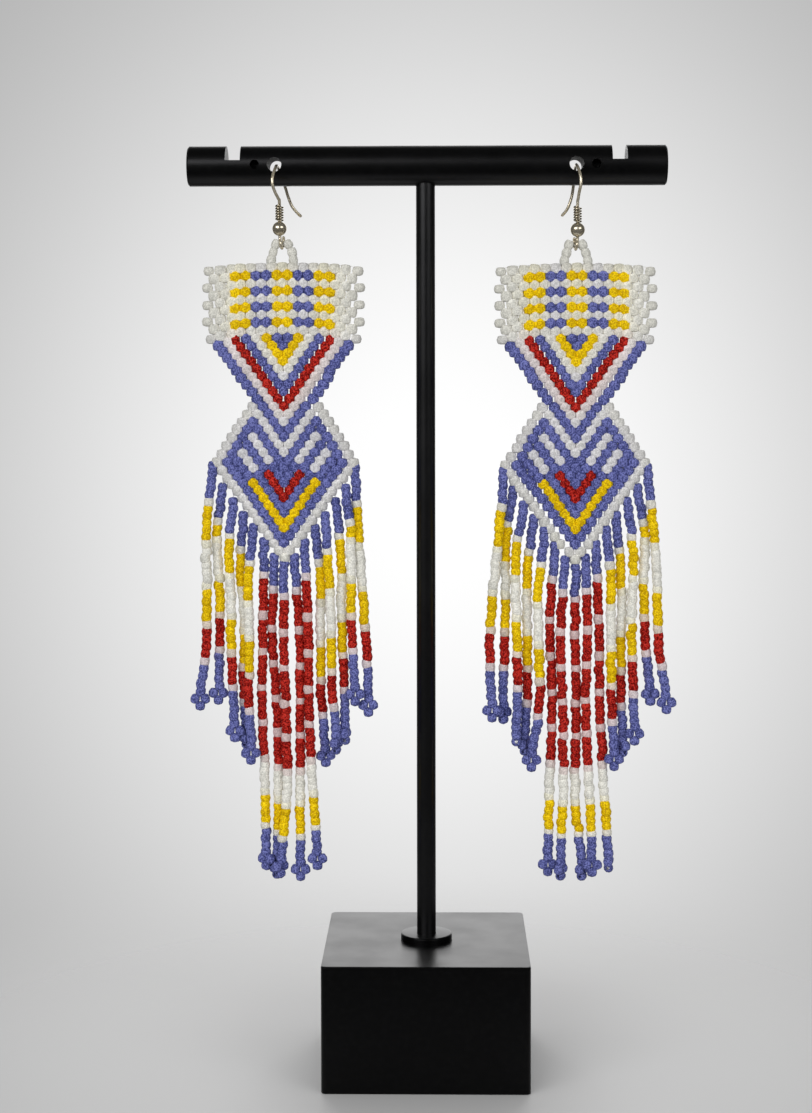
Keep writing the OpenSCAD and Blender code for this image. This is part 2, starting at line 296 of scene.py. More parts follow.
# The bar's metals, and the cosine above which a face is of the turned surface
COATED, DRILLED, MILLED = range(3)
TURNED_FROM = 0.97
BAR_SHARP_FROM = 30


def cut_steel(name, dark, light):
    """Drilled or milled walls: bare, dull steel, as the coating reached only their rims.
    The milled walls' pale grey is also a painted reflection of the bright background.
    """
    material, tree, shader = new_material(name, Roughness=0.6, Specular_IOR_Level=0.06)
    add_colour(tree, shader, noise(tree, 2500.0, 3.0), 0.35, 0.65, ((dark,) * 3, (light,) * 3))
    return material


def rod_blank():
    """Lathe work carried round the X axis: a cylinder with a 45 degree bevel on each end."""
    inner = BAR_R - BAR_BEVEL
    profile = [(inner, -BAR_HALF), (BAR_R, BAR_BEVEL - BAR_HALF), (BAR_R, BAR_HALF - BAR_BEVEL),
               (inner, BAR_HALF)]
    return turned(profile, BAR_SIDES)[..., [2, 0, 1]] + (BAR_SHIFT, 0, BAR_Z)


def drill(x, radius, start, end):
    """Cylinder along the Y axis, from start to end, at the bar's height."""
    return turned([(radius, start), (radius, end)], DRILL_SIDES)[..., [1, 2, 0]] + (x, 0, BAR_Z)


def mill(middle):
    """Box that takes a notch out of the bar's top."""
    low, high = middle - NOTCH_WIDE / 2, middle + NOTCH_WIDE / 2
    near, far = -TOOL_REACH, TOOL_REACH
    floor = BAR_Z + BAR_R - NOTCH_DEEP
    return np.array([[(low, near, z), (high, near, z), (high, far, z), (low, far, z)]
                     for z in (floor, floor + TOOL_REACH)])


def cut_bar():
    """The blank less every tool's shape. Each wall takes the tool's own material.

    A tool's materials repeat over its faces, so that a mill cuts two bare end
    walls, pale partly as painted reflection, and leaves the coating on its floor.
    """
    # The milled walls' pale grey is bare steel and also a painted reflection of the bright
    # background
    metals = [ROD_BLACK, cut_steel("drilled_steel", 0.02, 0.06), cut_steel("milled_steel_painted_reflection", 0.3, 0.4)]
    bore = turned([(BORE_R, -TOOL_REACH), (BORE_R, 0)], DRILL_SIDES) + (0, 0, BAR_Z)
    tools = [(bore, COATED), (mill(-NOTCH_X), (COATED, MILLED)),
             (mill(NOTCH_X + BAR_SHIFT), (COATED, MILLED))]
    for way in (-1, 1):
        hook_hole = drill(way * HOOK_HOLE_X, HOOK_HOLE_R, -TOOL_REACH, TOOL_REACH)
        stud_hole = drill(way * STUD_HOLE_X, STUD_HOLE_R, -TOOL_REACH, STUD_HOLE_DEEP - BAR_R)
        tools += [(hook_hole, DRILLED), (stud_hole, COATED)]
    rings = rod_blank()
    blank = make_piece("t_bar_blank", rings, capped(rings), metals)
    helpers = [blank]
    for rings, metal in tools:
        faces = capped(rings)
        tool = make_piece("tool", rings, faces, metals, np.resize(metal, len(faces)))
        cut = blank.modifiers.new("cut", "BOOLEAN")
        cut.object = tool
        cut.operation = "DIFFERENCE"
        cut.solver = "EXACT"
        cut.material_mode = "INDEX"
        helpers.append(tool)
    evaluated = blank.evaluated_get(bpy.context.evaluated_depsgraph_get())
    mesh = bpy.data.meshes.new_from_object(evaluated)
    for helper in helpers:
        bpy.data.objects.remove(helper)
    return mesh


def finished_bar():
    """The cut bar, with its turned surface shaded as a true cylinder.

    A corner of a face that looks straight out from the bar's axis gets the
    outward direction at that corner. Every other corner keeps its own.
    """
    mesh = cut_bar()
    mesh.shade_smooth()
    mesh.set_sharp_from_angle(angle=math.radians(BAR_SHARP_FROM))
    normals = np.array([corner.vector for corner in mesh.corner_normals])
    for face in mesh.polygons:
        middle = np.array(face.center) - (0, 0, BAR_Z * MM)
        outward = middle[1:] / max(np.linalg.norm(middle[1:]), 1e-9)
        straight = outward @ np.array(face.normal)[1:] > TURNED_FROM
        if straight and face.material_index == COATED:
            for loop in face.loop_indices:
                corner = mesh.vertices[mesh.loops[loop].vertex_index].co
                normals[loop] = (0, corner.y, corner.z - BAR_Z * MM)
                normals[loop] /= np.linalg.norm(normals[loop])
    mesh.normals_split_custom_set(normals.tolist())
    piece = bpy.data.objects.new("t_bar_finished", mesh)
    scene.collection.objects.link(piece)
    return piece


bar = finished_bar()
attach(bar, "root")
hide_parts("t_bar")


# Ear hooks. Each is one 0.65 mm nickel wire: an eye at the foot, a straight
# shank, a bend through the bar's hole and a free back leg that is cut off and
# tumbled round.
SIDES = ("left", "right")
AXIS_X = (-29.5, 31.1)
SHANK_X = (-30.25, 31.5)
BALL_Z = (175.8, 175.4)
ROW0_Z = (153.2, 152.9)
HANG_Y = -4.9
WIRE_R = 0.325
WIRE_SIDES = 16
BALL_R = 1.5
EYE_R = 0.85
NECK_HIGH = 0.5
# Degrees through which the eye is bent, and the points along it
EYE_BEND, EYE_POINTS = 315, 10
# The eye's place sideways from the shank, where it starts and at its free end
EYE_X = ((0.1, 0.8), (-0.05, -0.65))
# Two points of the free end: how far behind the shank and above the eye
FREE_END = ((0.4, 0.5), (0.6, 0.1))
# Wire above the coil: x from the shank, y, z from the bar's axis, front to back
HOOK_ROUTE = (
    ((0, -4.9, -8.0), (-0.2, -5.1, -7.2), (-0.8, -5.5, -6.0), (-1.3, -5.8, -4.6),
     (-1.4, -5.7, -3.2), (-1.2, -5.2, -2.0), (-1.0, -4.5, -1.2), (-0.9, -3.5, -0.7),
     (-0.9, -2.0, -0.2), (-0.9, 0, 0.1), (-0.8, 2.0, -0.1), (-0.7, 3.5, -0.6),
     (-0.6, 4.5, -1.2), (-0.3, 5.2, -2.2), (0.4, 5.6, -3.8), (1.0, 5.6, -5.8),
     (1.8, 5.5, -7.8), (2.7, 5.7, -9.0), (3.6, 6.1, -9.9)),
    ((0, -4.9, -8.4), (0.1, -5.1, -7.4), (0.3, -5.5, -6.0), (0.6, -5.8, -4.6),
     (0.6, -5.7, -3.2), (0.4, -5.2, -2.0), (0.2, -4.5, -1.2), (0.1, -3.5, -0.7),
     (0, -2.0, -0.2), (0, 0, 0.1), (0, 2.0, -0.1), (0, 3.5, -0.6),
     (0, 4.5, -1.2), (-0.1, 5.2, -2.2), (-0.2, 5.6, -3.8), (-0.5, 5.6, -5.8),
     (-1.1, 5.5, -7.8), (-1.7, 5.7, -9.0), (-2.5, 6.1, -9.9)),
)


def smooth_curve(points, steps):
    """Cubic curve through the points, parallel at each to the line between its neighbours."""
    p = np.asarray(points, float)
    ends = np.vstack([p[:1], p, p[-1:]])
    a, b, c, d = (ends[i:len(p) - 1 + i, None] for i in range(4))
    u = (np.arange(steps) / steps)[None, :, None]
    curve = 0.5 * (2 * b + (c - a) * u + (2 * a - 5 * b + 4 * c - d) * u ** 2
                   + (3 * b - a - 3 * c + d) * u ** 3)
    return np.vstack([curve.reshape(-1, p.shape[1]), p[-1:]])


def unit(v):
    """Vectors along the last axis, at length one."""
    return v / np.linalg.norm(v, axis=-1, keepdims=True)


def tube(path, radius, reference, sides):
    """Round tube: at each point of the path, a ring of its radius square to the path."""
    path = np.asarray(path, float)
    along = unit(np.gradient(path, axis=0))
    across = unit(reference - (along @ reference)[:, None] * along)
    over = np.cross(along, across)
    angle = np.linspace(0, 2 * np.pi, sides, endpoint=False)
    ring = (across[:, None] * np.cos(angle)[:, None] + over[:, None] * np.sin(angle)[:, None])
    return path[:, None] + np.broadcast_to(radius, len(path))[:, None, None] * ring


def round_ended(path, radius):
    """Path and radii of a wire, with a half-ball added beyond each end."""
    angle = np.radians([80, 55, 30, 10])
    start = path[0] + unit(path[0] - path[1]) * radius * np.sin(angle)[:, None]
    end = path[-1] + unit(path[-1] - path[-2]) * radius * np.sin(angle[::-1])[:, None]
    radii = np.concatenate([radius * np.cos(angle), np.full(len(path), radius),
                            radius * np.cos(angle[::-1])])
    return np.vstack([start, path, end]), radii


def nickel(name, rough_low, rough_high, metallic):
    """Bright nickel with a warm cast, fine polishing haze and duller patches."""
    material, tree, shader = new_material(name, Metallic=metallic)
    add_grain(tree, shader, 9000, rough_low, rough_high, 0.02)
    add_colour(tree, shader, noise(tree, 700.0, 3.0), 0.35, 0.7,
               ((0.58, 0.51, 0.37), (0.74, 0.67, 0.53)))
    return material


def hook_wire(s):
    """Free end close under the ball, the eye, the ball, then shank, bend and back leg."""
    eye_z = BALL_Z[s] - BALL_R - NECK_HIGH - EYE_R - WIRE_R
    start, free = EYE_X[s]
    share = np.linspace(1, 0, EYE_POINTS)
    a = np.radians(EYE_BEND) * share
    eye = np.stack([SHANK_X[s] + start + (free - start) * share,
                    HANG_Y - EYE_R * np.sin(a), eye_z + EYE_R * np.cos(a)], -1)
    end = [[SHANK_X[s] + free, HANG_Y + y, eye_z + EYE_R + z] for y, z in FREE_END]
    shank = [[SHANK_X[s], HANG_Y, BALL_Z[s]]]
    above = np.array(HOOK_ROUTE[s]) + (SHANK_X[s], 0, BAR_Z)
    return smooth_curve(np.vstack([end, eye, shank, above]), 6)


NICKEL = nickel("nickel", 0.17, 0.27, 0.75)
for s, side in enumerate(SIDES):
    path, radii = round_ended(hook_wire(s), WIRE_R)
    rings = tube(path, radii, np.array([1.0, 0, 0]), WIRE_SIDES)
    hook = make_piece(side + "_hook_wire", rings, capped(rings), [NICKEL])
    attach(hook, "root")
    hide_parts(side + "_ear_hook")


# Hook coils and balls. A finer nickel wire is wound seven times round the shank,
# above a drilled nickel ball that sits on the neck of the wire.
COIL_R = 0.9
COIL_HIGH = 3.6
COIL_TURNS = 7
# The wire's share of the height of one turn
COIL_CLOSE = 0.82
COIL_WIRE_R = COIL_HIGH / COIL_TURNS / 2 * COIL_CLOSE
COIL_SIDES, COIL_STEPS = 12, 24
# How far the coil's foot sits below the top of the ball, in mm
COIL_SUNK = 0.1
BALL_BORE_R = 0.48
BALL_SIDES, BALL_RINGS = 64, 40
BALL_NICKEL = nickel("ball_nickel", 0.16, 0.24, 0.88)
COIL_NICKEL = nickel("coil_nickel", 0.12, 0.2, 1.0)


def coil_path(s):
    """Helix: angle and height run evenly together, from the ball up."""
    t = np.linspace(0, 1, COIL_TURNS * COIL_STEPS + 1)
    angle = 2 * np.pi * (COIL_TURNS - 1) * t - np.pi / 2
    r = COIL_R - COIL_WIRE_R
    foot = BALL_Z[s] + BALL_R - COIL_SUNK + COIL_WIRE_R
    return np.stack([SHANK_X[s] + r * np.cos(angle), HANG_Y + r * np.sin(angle),
                     foot + (COIL_HIGH - 2 * COIL_WIRE_R) * t], -1)


def ball_profile():
    """Half circle from the bore's lower lip to its upper one, closed down the bore."""
    lip = math.asin(BALL_BORE_R / BALL_R)
    angle = np.linspace(-math.pi / 2 + lip, math.pi / 2 - lip, BALL_RINGS)
    return np.stack([BALL_R * np.cos(angle), BALL_R * np.sin(angle)], -1)


for s, side in enumerate(SIDES):
    path, radii = round_ended(coil_path(s), COIL_WIRE_R)
    rings = tube(path, radii, np.array([0, 0, 1.0]), COIL_SIDES)
    coil = make_piece(side + "_coil_wire", rings, capped(rings), [COIL_NICKEL])
    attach(coil, "root")
    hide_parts(side + "_hook_coil")

    rings = turned(ball_profile(), BALL_SIDES) + (SHANK_X[s], HANG_Y, BALL_Z[s])
    ball = make_piece(side + "_ball", rings, joined(*rings.shape[:2]), [BALL_NICKEL])
    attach(ball, "root")
    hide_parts(side + "_hook_ball")


# Hanging loops. Three frosted glass beads on each side are threaded on the
# white beading thread that runs through the hook's eye and carries the panel.
BEAD_SIDES = 10
BEAD_ANGLES = np.radians([-90, -62, -45, 0, 45, 62, 90])
BEAD_HOLE = 0.34
# How uneven beads are: tilt, radius and length
BEAD_TILT, UNEVEN_R, UNEVEN_LONG = 0.05, 0.025, 0.03
THREAD_R = 0.09
THREAD_SIDES = 5
BLUE, YELLOW, RED, FROSTED, THREAD = range(5)
# Colours painted into frosted beads for the light their blue, yellow and red neighbours shine
# through them
PAINTED_BLUE_GLOW = (0.84, 0.84, 0.98)
PAINTED_YELLOW_GLOW = (1.0, 0.96, 0.77)
PAINTED_RED_GLOW = (0.86, 0.67, 0.72)
# Two beads whose middles are closer than this lie side by side, in mm
SIDE_BY_SIDE = 2.5
# Share of a bead's tone that is painted light, lightening it where neighbours hem it in
# and shade would fall, and where that starts and is full, in mm from the two nearest
PAINTED_LIGHT_FROSTED, PAINTED_LIGHT_YELLOW = 0.75, 0.5
PAINTED_LIGHT_FROM, PAINTED_LIGHT_FULL = 2.1, 1.25
# Beads of each loop, from the panel up: x from the beadwork's axis, z over row 0
LOOP_BEADS = (
    (((-2.5, 16.1), (-2.1, 17.7), (-1.5, 19.4)), ((2.1, 16.1), (1.85, 17.7), (1.05, 19.4))),
    (((-2.35, 16.1), (-1.9, 17.7), (-1.4, 19.4)), ((2.5, 16.1), (2.1, 17.7), (1.35, 19.4))),
)
LOOP_BEAD_R, LOOP_BEAD_LONG, LOOP_FORM = 1.03, 2.0, 0.8
# Height at which the thread passes the eye, and where it leaves the top beads
THREAD_DIP = 19.1
THREAD_TURN = (0.5, 0.6)


def beads(centres, axes, radius, length, seed, form):
    """Seed beads, each a closed ring: a rounded barrel outside and a straight hole.

    Outside, radius and height follow the cosine and sine of one angle, raised
    to powers that square the barrel off; form is the cosine's power, for all or
    for each. Each bead is a little out of true.
    """
    draw = np.random.default_rng(seed)
    n = len(centres)
    power = np.broadcast_to(form, n)[:, None]
    wide = BEAD_HOLE + (1 - BEAD_HOLE) * np.cos(BEAD_ANGLES).clip(0) ** power
    high = np.sign(BEAD_ANGLES) * np.abs(np.sin(BEAD_ANGLES)) ** 0.9 / 2
    axes = unit(np.asarray(axes, float) + draw.normal(0, BEAD_TILT, (n, 3)))
    across = unit(np.cross(axes, np.array([0.3, 1.0, 0.2])))
    over = np.cross(axes, across)
    angle = draw.uniform(0, 2 * np.pi, (n, 1)) + np.arange(BEAD_SIDES) * 2 * np.pi / BEAD_SIDES
    spoke = (across[:, None] * np.cos(angle)[..., None] + over[:, None] * np.sin(angle)[..., None])
    r = np.broadcast_to(radius, n) * draw.normal(1, UNEVEN_R, n)
    h = np.broadcast_to(length, n) * draw.normal(1, UNEVEN_LONG, n)
    points = (np.asarray(centres)[:, None, None]
              + (r[:, None] * wide)[..., None, None] * spoke[:, None]
              + ((h[:, None] * high)[:, :, None] * axes[:, None])[:, :, None])
    rings = len(BEAD_ANGLES)
    one = np.array(joined(rings, BEAD_SIDES))
    faces = one[None] + (np.arange(n) * rings * BEAD_SIDES)[:, None, None]
    return points.reshape(-1, 3), faces.reshape(-1, 4), draw.uniform(0.25, 0.75, n)


def painted_crevice_light(points, centres):
    """From 0 to 1 for each point: how near it is, on average, to the two nearest other beads.

    Painted light: pale glass passes light on to its neighbours, so the places that
    several beads hem in are painted as light as the rest, where shade would fall.
    """
    gap = np.linalg.norm(centres[:, None] - centres[None], axis=-1)
    six_nearest = np.argsort(gap, 1)[:, 1:7]
    own = points.reshape(len(centres), -1, 1, 3)
    away = np.sort(np.linalg.norm(own - centres[six_nearest][:, None], axis=-1), -1)
    return np.clip((PAINTED_LIGHT_FROM - away[..., :2].mean(-1)) / (PAINTED_LIGHT_FROM - PAINTED_LIGHT_FULL), 0, 1)


def painted_neighbour_tint(centres, colours):
    """Painted tint of each frosted bead: light of its blue, yellow and red neighbours shining
    through.

    Each neighbour's tint is raised to the share of such beads among all that
    lie within reach, and the three are multiplied.
    """
    gap = np.linalg.norm(centres[:, None] - centres[None], axis=-1)
    near = (gap < SIDE_BY_SIDE) & (gap > 0)
    tint = np.ones((len(centres), 4))
    for colour, painted_glow in ((BLUE, PAINTED_BLUE_GLOW), (YELLOW, PAINTED_YELLOW_GLOW), (RED, PAINTED_RED_GLOW)):
        share = (near & (colours == colour)).sum(1) / near.sum(1).clip(1)
        tint[:, :3] *= np.array(painted_glow) ** share[:, None]
    tint[colours != FROSTED] = 1
    return tint


def beadwork(name, centres, axes, radius, length, colours, threads, seed, form):
    """One mesh of coloured beads and the thread that holds them."""
    centres = np.asarray(centres)
    colours = np.asarray(colours)
    points, faces, tone = beads(centres, axes, radius, length, seed, form)
    # Frosted and yellow beads take part of their tone from painted light in their crevices
    share = np.select([colours == FROSTED, colours == YELLOW],
                      [PAINTED_LIGHT_FROSTED, PAINTED_LIGHT_YELLOW], 0)[:, None]
    tone = tone[:, None] * (1 - share) + share * painted_crevice_light(points, centres)
    per_bead = len(faces) // len(centres)
    places = [points]
    all_faces = faces.tolist()
    face_colours = [np.repeat(colours, per_bead)]
    tones = [tone.ravel()]
    start = len(points)
    for path, reference in threads:
        rings = tube(path, THREAD_R, np.asarray(reference, float), THREAD_SIDES)
        thread_faces = capped(rings)
        all_faces += [[start + i for i in face] for face in thread_faces]
        places.append(rings.reshape(-1, 3))
        face_colours.append(np.full(len(thread_faces), THREAD))
        tones.append(np.full(rings.shape[0] * THREAD_SIDES, 0.5))
        start += rings.shape[0] * THREAD_SIDES
    piece = make_piece(name, np.vstack(places), all_faces, BEAD_MATERIALS,
                       np.concatenate(face_colours))
    # Tone: random for each bead, plus painted crevice light for frosted and yellow beads
    piece.data.attributes.new("tone", "FLOAT", "POINT").data.foreach_set(
        "value", np.concatenate(tones).astype(np.float32))
    # Painted tint: the light that coloured neighbours shine through each frosted bead
    tint = np.ones((start, 4), np.float32)
    tint[:len(points)] = np.repeat(painted_neighbour_tint(centres, colours), tone.shape[1], 0)
    piece.data.attributes.new("tint", "FLOAT_COLOR", "POINT").data.foreach_set(
        "color", tint.ravel())
    return piece


def glass_tone():
    """Node group: random tone, painted crevice light and speckle, dark to light, times painted tint.
    """
    group, given, out = new_group(
        "glass_tone", [("Dark", "Color"), ("Light", "Color"), ("Speckle", "Float")],
        [("Color", "Color"), ("Height", "Float")])
    # The tone attribute holds each bead's random tone and, for frosted and yellow beads, painted
    # crevice light
    tone = group.nodes.new("ShaderNodeAttribute")
    tone.attribute_name = "tone"
    speckle = noise(group, 3300.0, 2.0, 0.6)
    sharp = add_node(group, "ShaderNodeMapRange", Value=speckle, From_Min=0.42, From_Max=0.58,
                     To_Min=-0.5, To_Max=0.5)
    share = add_node(group, "ShaderNodeMath", n0=sharp.outputs["Result"], n1=given["Speckle"],
                     n2=tone.outputs["Fac"])
    share.operation = "MULTIPLY_ADD"
    mixed = group.nodes.new("ShaderNodeMix")
    mixed.data_type = "RGBA"
    group.links.new(share.outputs[0], mixed.inputs["Factor"])
    group.links.new(given["Dark"], mixed.inputs[6])
    group.links.new(given["Light"], mixed.inputs[7])
    # The tint attribute holds the painted light that coloured neighbours shine through frosted beads
    tint = group.nodes.new("ShaderNodeAttribute")
    tint.attribute_name = "tint"
    tinted = group.nodes.new("ShaderNodeMix")
    tinted.data_type = "RGBA"
    tinted.blend_type = "MULTIPLY"
    tinted.inputs["Factor"].default_value = 1
    group.links.new(mixed.outputs[2], tinted.inputs[6])
    group.links.new(tint.outputs["Color"], tinted.inputs[7])
    group.links.new(tinted.outputs[2], out.inputs["Color"])
    group.links.new(speckle, out.inputs["Height"])
    return group


GLASS_TONE = glass_tone()


def bead_glass(name, dark, light, speckle):
    """Matt glass of one colour, with fine speckle in tone and surface."""
    material, tree, shader = new_material(name, Roughness=0.4, Specular_IOR_Level=0.05)
    tone = tree.nodes.new("ShaderNodeGroup")
    tone.node_tree = GLASS_TONE
    tone.inputs["Dark"].default_value = (*dark, 1)
    tone.inputs["Light"].default_value = (*light, 1)
    tone.inputs["Speckle"].default_value = speckle
    tree.links.new(tone.outputs["Color"], shader.inputs["Base Color"])
    bump = add_node(tree, "ShaderNodeBump", Strength=0.5, Distance=0.00006,
                    Height=tone.outputs["Height"])
    tree.links.new(bump.outputs["Normal"], shader.inputs["Normal"])
    return material


def thread_fibre():
    """White bonded nylon thread, matt, with a faint twist."""
    material, tree, shader = new_material("thread", Roughness=0.6)
    add_colour(tree, shader, noise(tree, 6000.0), 0.3, 0.7, ((0.62, 0.62, 0.6), (0.8, 0.8, 0.78)))
    return material


# The light colour of frosted and yellow glass is also the painted light in their crevices
BEAD_MATERIALS = [
    bead_glass("blue_glass", (0.038, 0.045, 0.15), (0.15, 0.165, 0.405), 1.6),
    bead_glass("yellow_glass", (0.42, 0.25, 0.001), (0.86, 0.61, 0.006), 0.8),
    bead_glass("red_glass", (0.12, 0.0012, 0.001), (0.47, 0.026, 0.017), 1.7),
    bead_glass("frosted_glass", (0.43, 0.425, 0.385), (0.83, 0.815, 0.75), 0.5),
    thread_fibre(),
]


def loop_line(s):
    """Thread of the loop: up one side's beads, through the eye and down the other."""
    left, right = LOOP_BEADS[s]
    foot_left, foot_right = (left[0][0], left[0][1] - 1), (right[0][0], right[0][1] - 1)
    dip = (SHANK_X[s] + sum(EYE_X[s]) / 2 - AXIS_X[s], THREAD_DIP)
    over, up = THREAD_TURN
    line = [foot_left, *left, (left[2][0] + over, left[2][1] + up), dip,
            (right[2][0] - over, right[2][1] + up), *right[::-1], foot_right]
    return np.array([(AXIS_X[s] + x, HANG_Y, ROW0_Z[s] + z) for x, z in line])


for s, side in enumerate(SIDES):
    line = loop_line(s)
    threaded = np.array([1, 2, 3, 7, 8, 9])
    loop = beadwork(side + "_loop_beads", line[threaded], line[threaded + 1] - line[threaded - 1],
                    LOOP_BEAD_R, LOOP_BEAD_LONG, np.full(len(threaded), FROSTED),
                    [(smooth_curve(line, 6), (0, 1, 0))], seed=20 + s, form=LOOP_FORM)
    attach(loop, "root")
    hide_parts(side + "_hanging_loop")


# Beaded panels. Rows of glass seed beads stand side by side, holes upright,
# each row sewn to the loops of thread between the beads of the row before, so
# every row sits half a bead over. Colours follow a chart of nested chevrons.
BEAD_PITCH = 2.13
UPPER_ROW = 1.625
LOWER_ROW = 1.58
EDGE_DROOP = 2.05
TOP_DROOP = 0.75
DROOP_POWER, POWER_PER_ROW = 3.2, 0.13
# How far the block hangs to one side, and spreads with each pitch, in mm
BLOCK_SHIFT = (-0.2, 0.25)
BLOCK_SPREAD = 0.045
# How far the outer beads of the triangle are drawn in, and those of the block's
# left and right edge are pushed out, in mm
TRIANGLE_IN = 0.3
BLOCK_OUT = (-0.3, 0.12)
# How far the red stripe and the beads inside it are pushed out, in pitches
SLIT_OUT, SLIT_IN = 0.06, -0.02
# How far the diamond's upper and lower edge stand out, on its left and right, in mm
EDGE_OUT = (((0.15, 0.05), (0.8, 0.45)), ((0.45, 1.1), (0.5, 0.6)))
# How far the diamond's left and right corner sag, in mm, and about which row
CORNER_SAG = ((0.65, 0.8), (1.1, 0.55))
CORNER_ROW, CORNER_ROWS = 17, 2.6
# How far the picots of rows -9, -7, -5, -3 and -1 stand out, and the beads
# between them, in pitches
PICOT_OUT = (0.25, 0.42, 0.38, 0.38, 0.1)
BETWEEN_OUT = 0.1
# Radius and length of a bead in mm: frosted, coloured, and coloured in the block;
# then the radius along the red stripe, and the length of a picot
FROSTED_R, COLOURED_R, BLOCK_R, SLIM_R = 1.2, 1.25, 1.3, 1.15
FROSTED_LONG, COLOURED_LONG, BLOCK_LONG, PICOT_LONG = 2.1, 2.2, 2.25, 1.9
PICOT_FORM, PANEL_FORM = 0.9, 0.65
PANEL_LOOSE = 0.035
ROWS = range(-9, 30)
CHEVRON = (BLUE, YELLOW, FROSTED, BLUE, RED, FROSTED, BLUE)


def last_bead(row):
    """Outermost bead of a row, in pitches: a block, then a triangle in, a diamond out and in."""
    if row < 0:
        return 6.5 if row % 2 == 0 else 7
    return max((13 - row) / 2, min((row - 3) / 2, (29 - row) / 2))


def row_height(row, h):
    """Height of a bead over row 0: rows step down, and droop to the side edges.

    The droop is a power of the distance from the axis: gentle along the block's
    top, steeper in each row below, and gone where the triangle ends.
    """
    reach = np.abs(h) / 7
    if row < 0:
        droop = EDGE_DROOP + (EDGE_DROOP - TOP_DROOP) * row / 9
        return -row * UPPER_ROW - droop * reach ** (DROOP_POWER + POWER_PER_ROW * row)
    fading = max(0, min(1, (12 - row) / 4))
    return -row * LOWER_ROW - EDGE_DROOP * fading * reach ** DROOP_POWER


def chart(row, h):
    """Colour of the bead that lies h pitches from the axis.

    The block has two-bead stripes in every second row. Below it, row + 2h is
    the same along one leg of a chevron, and row - 2h along the diamond's upper
    edge, so each stripe is one value of either.
    """
    down, up = int(row + 2 * h), int(row - 2 * h)
    if row < 0:
        if row % 2 or h > 5:
            return FROSTED
        return BLUE if 1 < h < 3 else YELLOW
    if down <= 13:
        return CHEVRON[(down - 1) // 2]
    if up == 3 or down in (15, 29):
        return FROSTED
    if up == 5 or down in (17, 27):
        return BLUE
    if down == 19:
        return BLUE if row >= 17 else FROSTED
    if down == 21:
        return RED if row >= 18 else BLUE
    if down == 23:
        return BLUE if row >= 18 else FROSTED
    return YELLOW if row >= 19 else BLUE


def panel_beads():
    """Row, place in the row, and colour of every bead of the chart."""
    table = [(row, h, chart(row, abs(h))) for row in ROWS
             for h in np.arange(-last_bead(row), last_bead(row) + 0.5)]
    return np.array(table, float).T


def panel_places(s, row, h):
    """Places of a panel's beads: the plain brick pattern, then its own slack and pull.

    Slits open beside the red stripe, picots stand out, the block hangs a
    little to one side, and the diamond's edges bulge and its corners sag.
    """
    reach = np.abs(h)
    end = np.where(h < 0, 0, 1)
    down = row + 2 * reach
    slit = np.where((row >= 0) & (row < 9), SLIT_OUT * (down == 9) + SLIT_IN * (down == 7), 0)
    picot = np.where(reach == 7, np.array(PICOT_OUT)[((row + 9) / 2).astype(int).clip(0, 4)],
                     np.where((row < 0) & (reach == 6.5), BETWEEN_OUT, 0))
    x = BEAD_PITCH * np.sign(h) * (reach + slit + picot)
    z = np.array([row_height(r, one) for r, one in zip(row, h)])
    x += np.clip((8 - row) / 8, 0, 1) * (reach < 5) * (BLOCK_SHIFT[s] + BLOCK_SPREAD * h)
    x -= np.sign(h) * TRIANGLE_IN * np.clip((4 - row) / 4, 0, 1) * (reach > 5) * (row >= 0)
    x += np.array(BLOCK_OUT)[end] * (row < 0) * (reach > 5) * (reach < 7)
    blend = np.clip((row - 14) / 5, 0, 1)
    upper, lower = np.array(EDGE_OUT[s])[end].T
    across = np.divide(reach, [max(last_bead(r), 1) for r in row])
    x += np.sign(h) * (row > 4) * (upper * (1 - blend) + lower * blend) * across ** 3
    sag = np.array(CORNER_SAG[s])[end] * np.exp(-((row - CORNER_ROW) / CORNER_ROWS) ** 2 / 2)
    z -= sag * np.clip((reach - 1.5) / 4, 0, 1) ** 1.5
    return np.stack([AXIS_X[s] + x, np.full(len(row), HANG_Y), ROW0_Z[s] + z], -1)


for s, side in enumerate(SIDES):
    row, h, colour = panel_beads()
    draw = np.random.default_rng(40 + s)
    centres = panel_places(s, row, h) + draw.normal(0, PANEL_LOOSE, (len(row), 3))
    frosted, block, picot = colour == FROSTED, row < 0, np.abs(h) == 7
    slim = ~block & ((colour == RED) | (row + 2 * np.abs(h) == 7))
    radius = np.select([block & (h <= -5) & (h > -7), frosted, slim, block],
                       [BLOCK_R, FROSTED_R, SLIM_R, BLOCK_R], COLOURED_R)
    length = np.select([picot, frosted, block], [PICOT_LONG, FROSTED_LONG, BLOCK_LONG],
                       COLOURED_LONG)
    threads = []
    for r in ROWS:
        line_h = np.arange(-last_bead(r), last_bead(r) + 0.5)
        if len(line_h) > 1:
            line_z = row_height(r, line_h) + (UPPER_ROW if r < 0 else LOWER_ROW) / 2
            line = np.stack([AXIS_X[s] + BEAD_PITCH * line_h, np.full(len(line_h), HANG_Y),
                             ROW0_Z[s] + line_z], -1)
            threads.append((smooth_curve(line, 3), (0, 0, 1)))
    panel = beadwork(side + "_panel_beads", centres, np.tile([0, 0, 1.0], (len(row), 1)),
                     radius, length, colour.astype(int), threads, seed=60 + s,
                     form=np.where(picot, PICOT_FORM, PANEL_FORM))
    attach(panel, "root")
    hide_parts(side + "_beaded_panel")


# Fringe. Fifteen strings of glass seed beads hang from the panel's lower edge.
# Each thread runs down its string, round a picot of three beads and back up,
# so the string hangs limp and sways a little.
STRAND_PITCH = 2.12
# Share of its length over which a string swings out of the panel's plane
SWING_OUT = 0.12
# Size of a picot in mm, and how far its outer beads lean
PICOT_RISE, PICOT_WIDE, PICOT_DEEP = 0.7, 1.05, 1.5
PICOT_LEAN = 0.35
